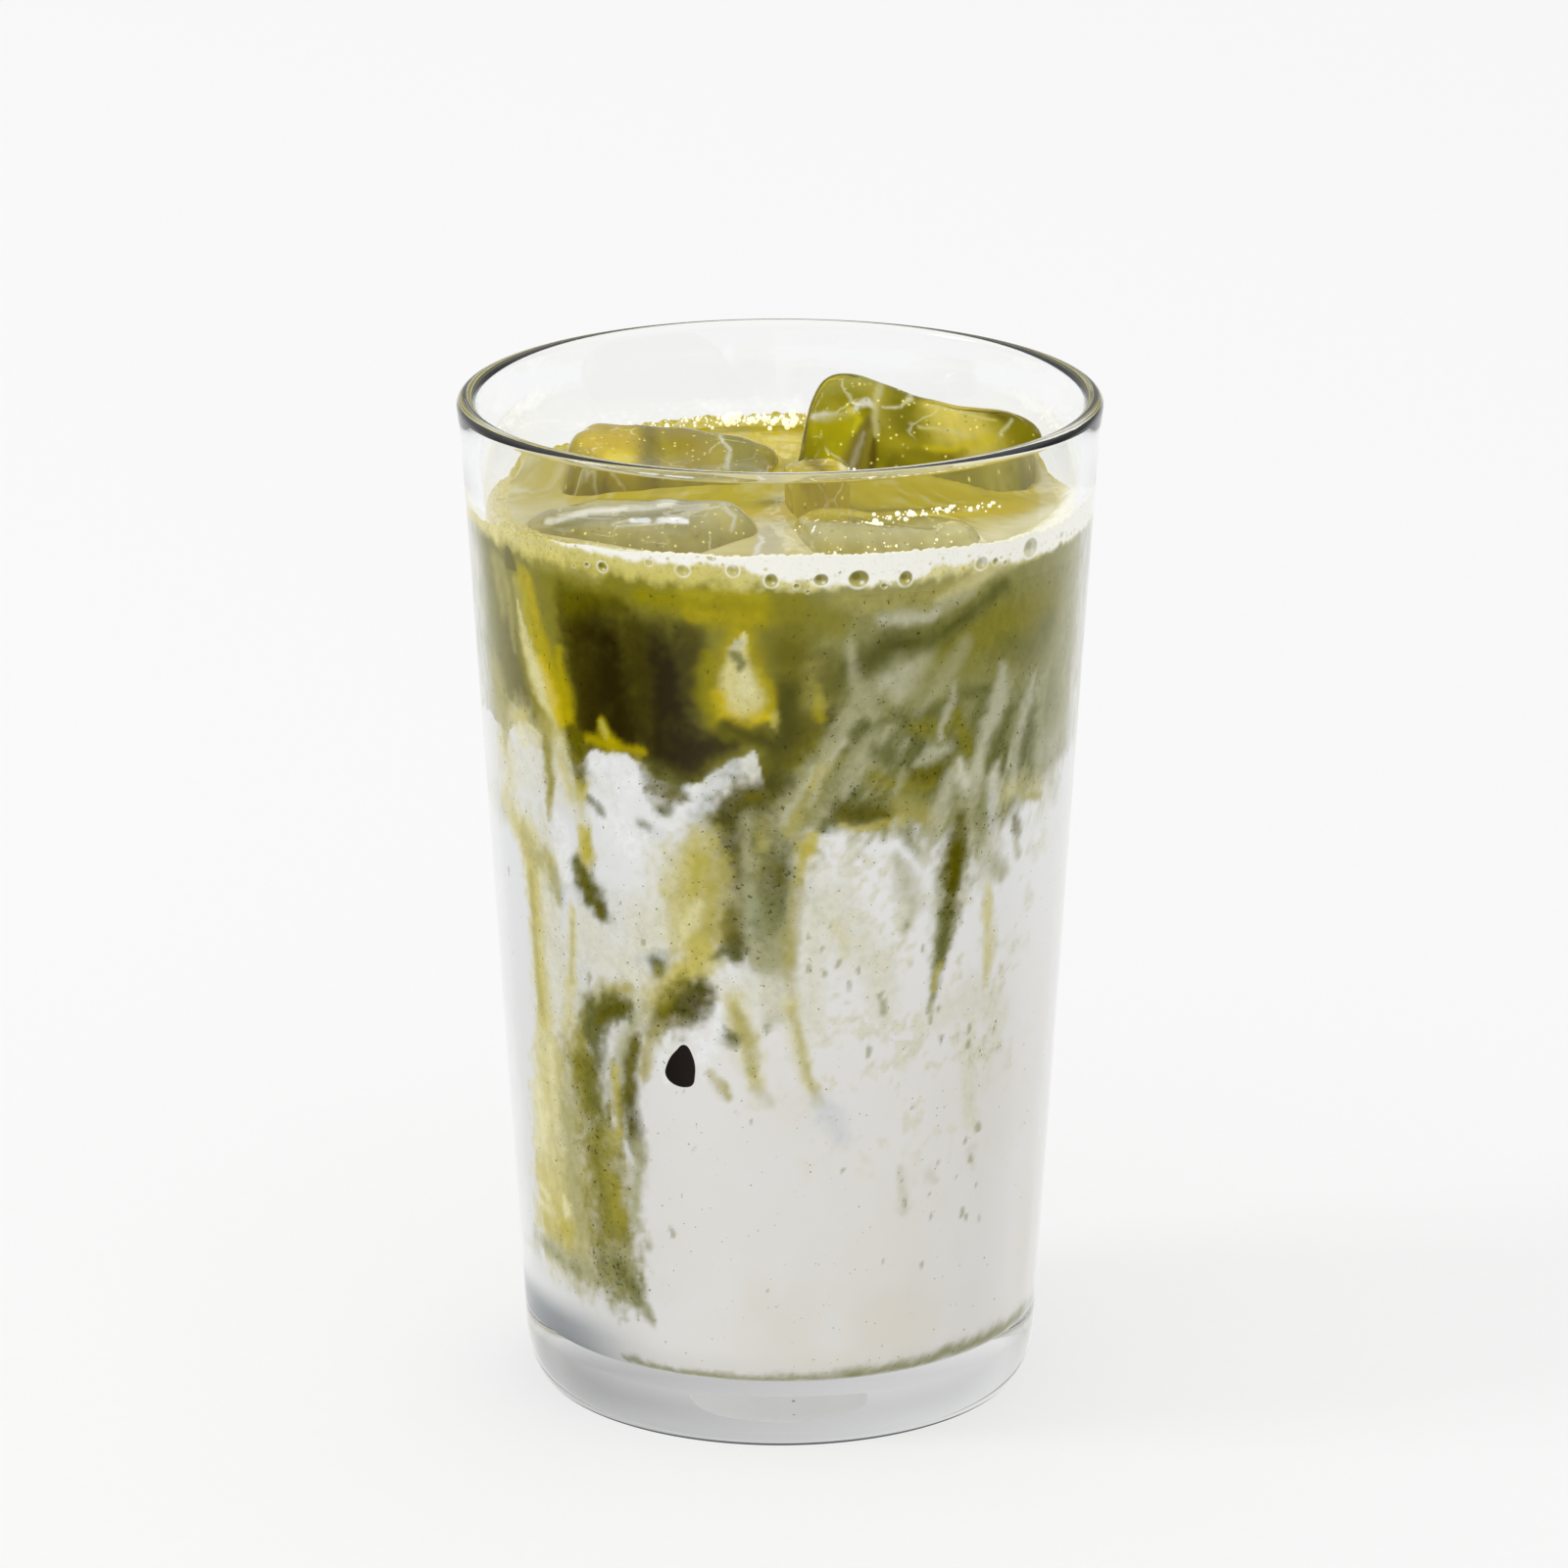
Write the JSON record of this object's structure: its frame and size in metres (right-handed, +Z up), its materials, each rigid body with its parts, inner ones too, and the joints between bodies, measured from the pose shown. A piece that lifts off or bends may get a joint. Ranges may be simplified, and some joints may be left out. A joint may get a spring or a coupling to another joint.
{
  "type": "iced tea latte in a glass",
  "caption": "Iced roasted-rice green tea latte in a tapered clear glass, green tea marbling down into milk, with a ring of froth and floating ice.",
  "frame": {"origin": "centre of the glass's foot on the surface it stands on", "axes": "+Z up along the glass's axis, the shown front towards -Y"},
  "size_m": [0.083, 0.083, 0.1325],
  "materials": {
    "glass": "clear",
    "milk": "smooth liquid, stands in for milk",
    "green_tea": "smooth liquid, stands in for green tea",
    "froth": "fine bubbles, stands in for froth",
    "ice": "clear, tinted by the tea"
  },
  "bodies": {
    "root": {"glass": "glass", "milk": "milk", "tea": "green_tea", "froth": "froth", "ice_left": "ice", "ice_right": "ice", "ice_front": "ice", "ice_near": "ice", "ice_chip": "ice"}
  },
  "joints": []
}
